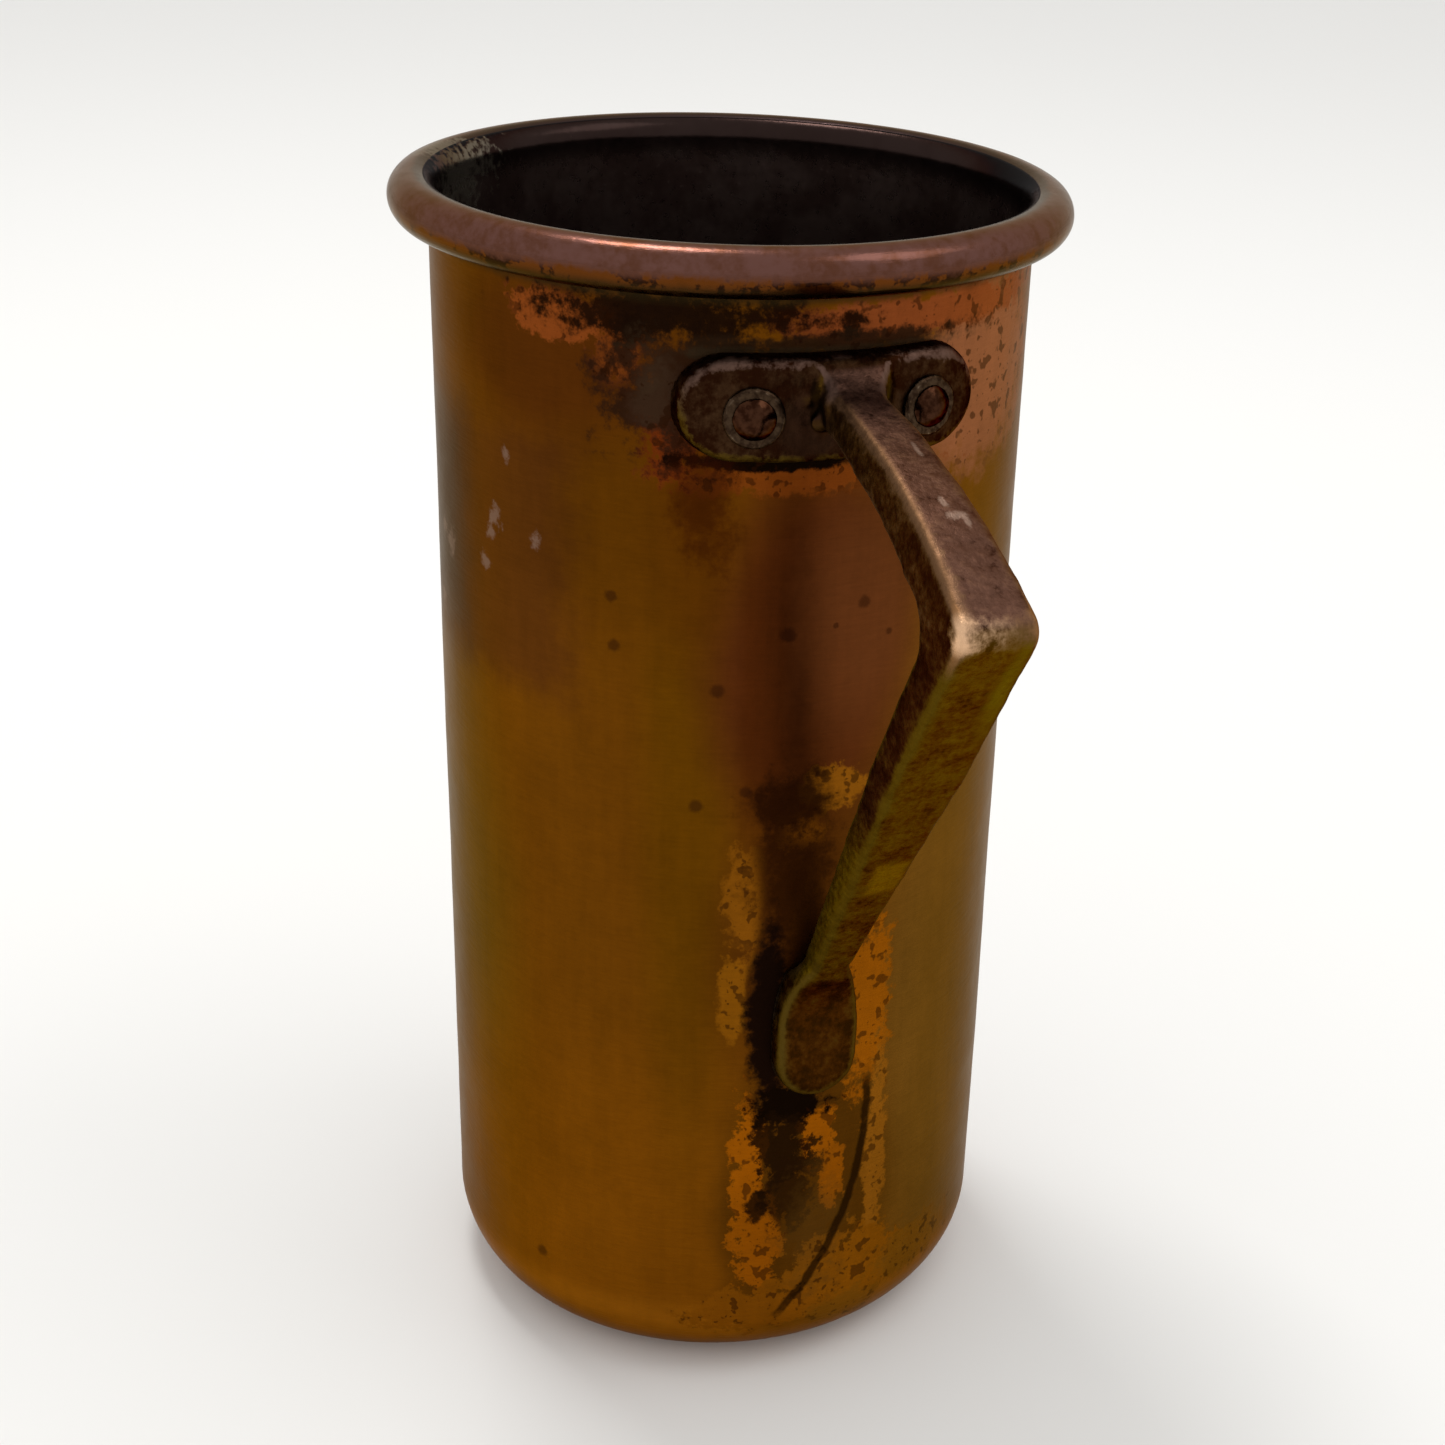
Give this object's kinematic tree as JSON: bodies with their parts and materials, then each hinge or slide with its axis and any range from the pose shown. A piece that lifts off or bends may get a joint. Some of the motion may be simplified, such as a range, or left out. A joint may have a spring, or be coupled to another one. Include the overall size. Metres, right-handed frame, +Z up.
{
  "type": "mug",
  "caption": "Tall straight-sided copper mug with a wired rim, rounded base, tinned inside and a riveted cast handle.",
  "frame": {"origin": "middle of the underside of the base, on the body's axis", "axes": "+Z up along the body's axis towards the mouth, +X towards the handle"},
  "size_m": [0.1371, 0.092, 0.171],
  "materials": {
    "copper": "aged brown copper with a dull polish",
    "iron_wire": "dull",
    "tin": "darkened by use",
    "cast_brass": "dark, worn bright on the edges",
    "solder": "dull",
    "rivet_copper": "dark",
    "washer_brass": "dark, worn bright on the edge"
  },
  "bodies": {
    "root": {"copper_body": "copper", "rim_wire": "iron_wire", "tin_lining": "tin", "handle": "cast_brass", "solder_joint": "solder", "rivet_left": "rivet_copper", "rivet_right": "rivet_copper", "washer_left": "washer_brass", "washer_right": "washer_brass"}
  },
  "joints": []
}
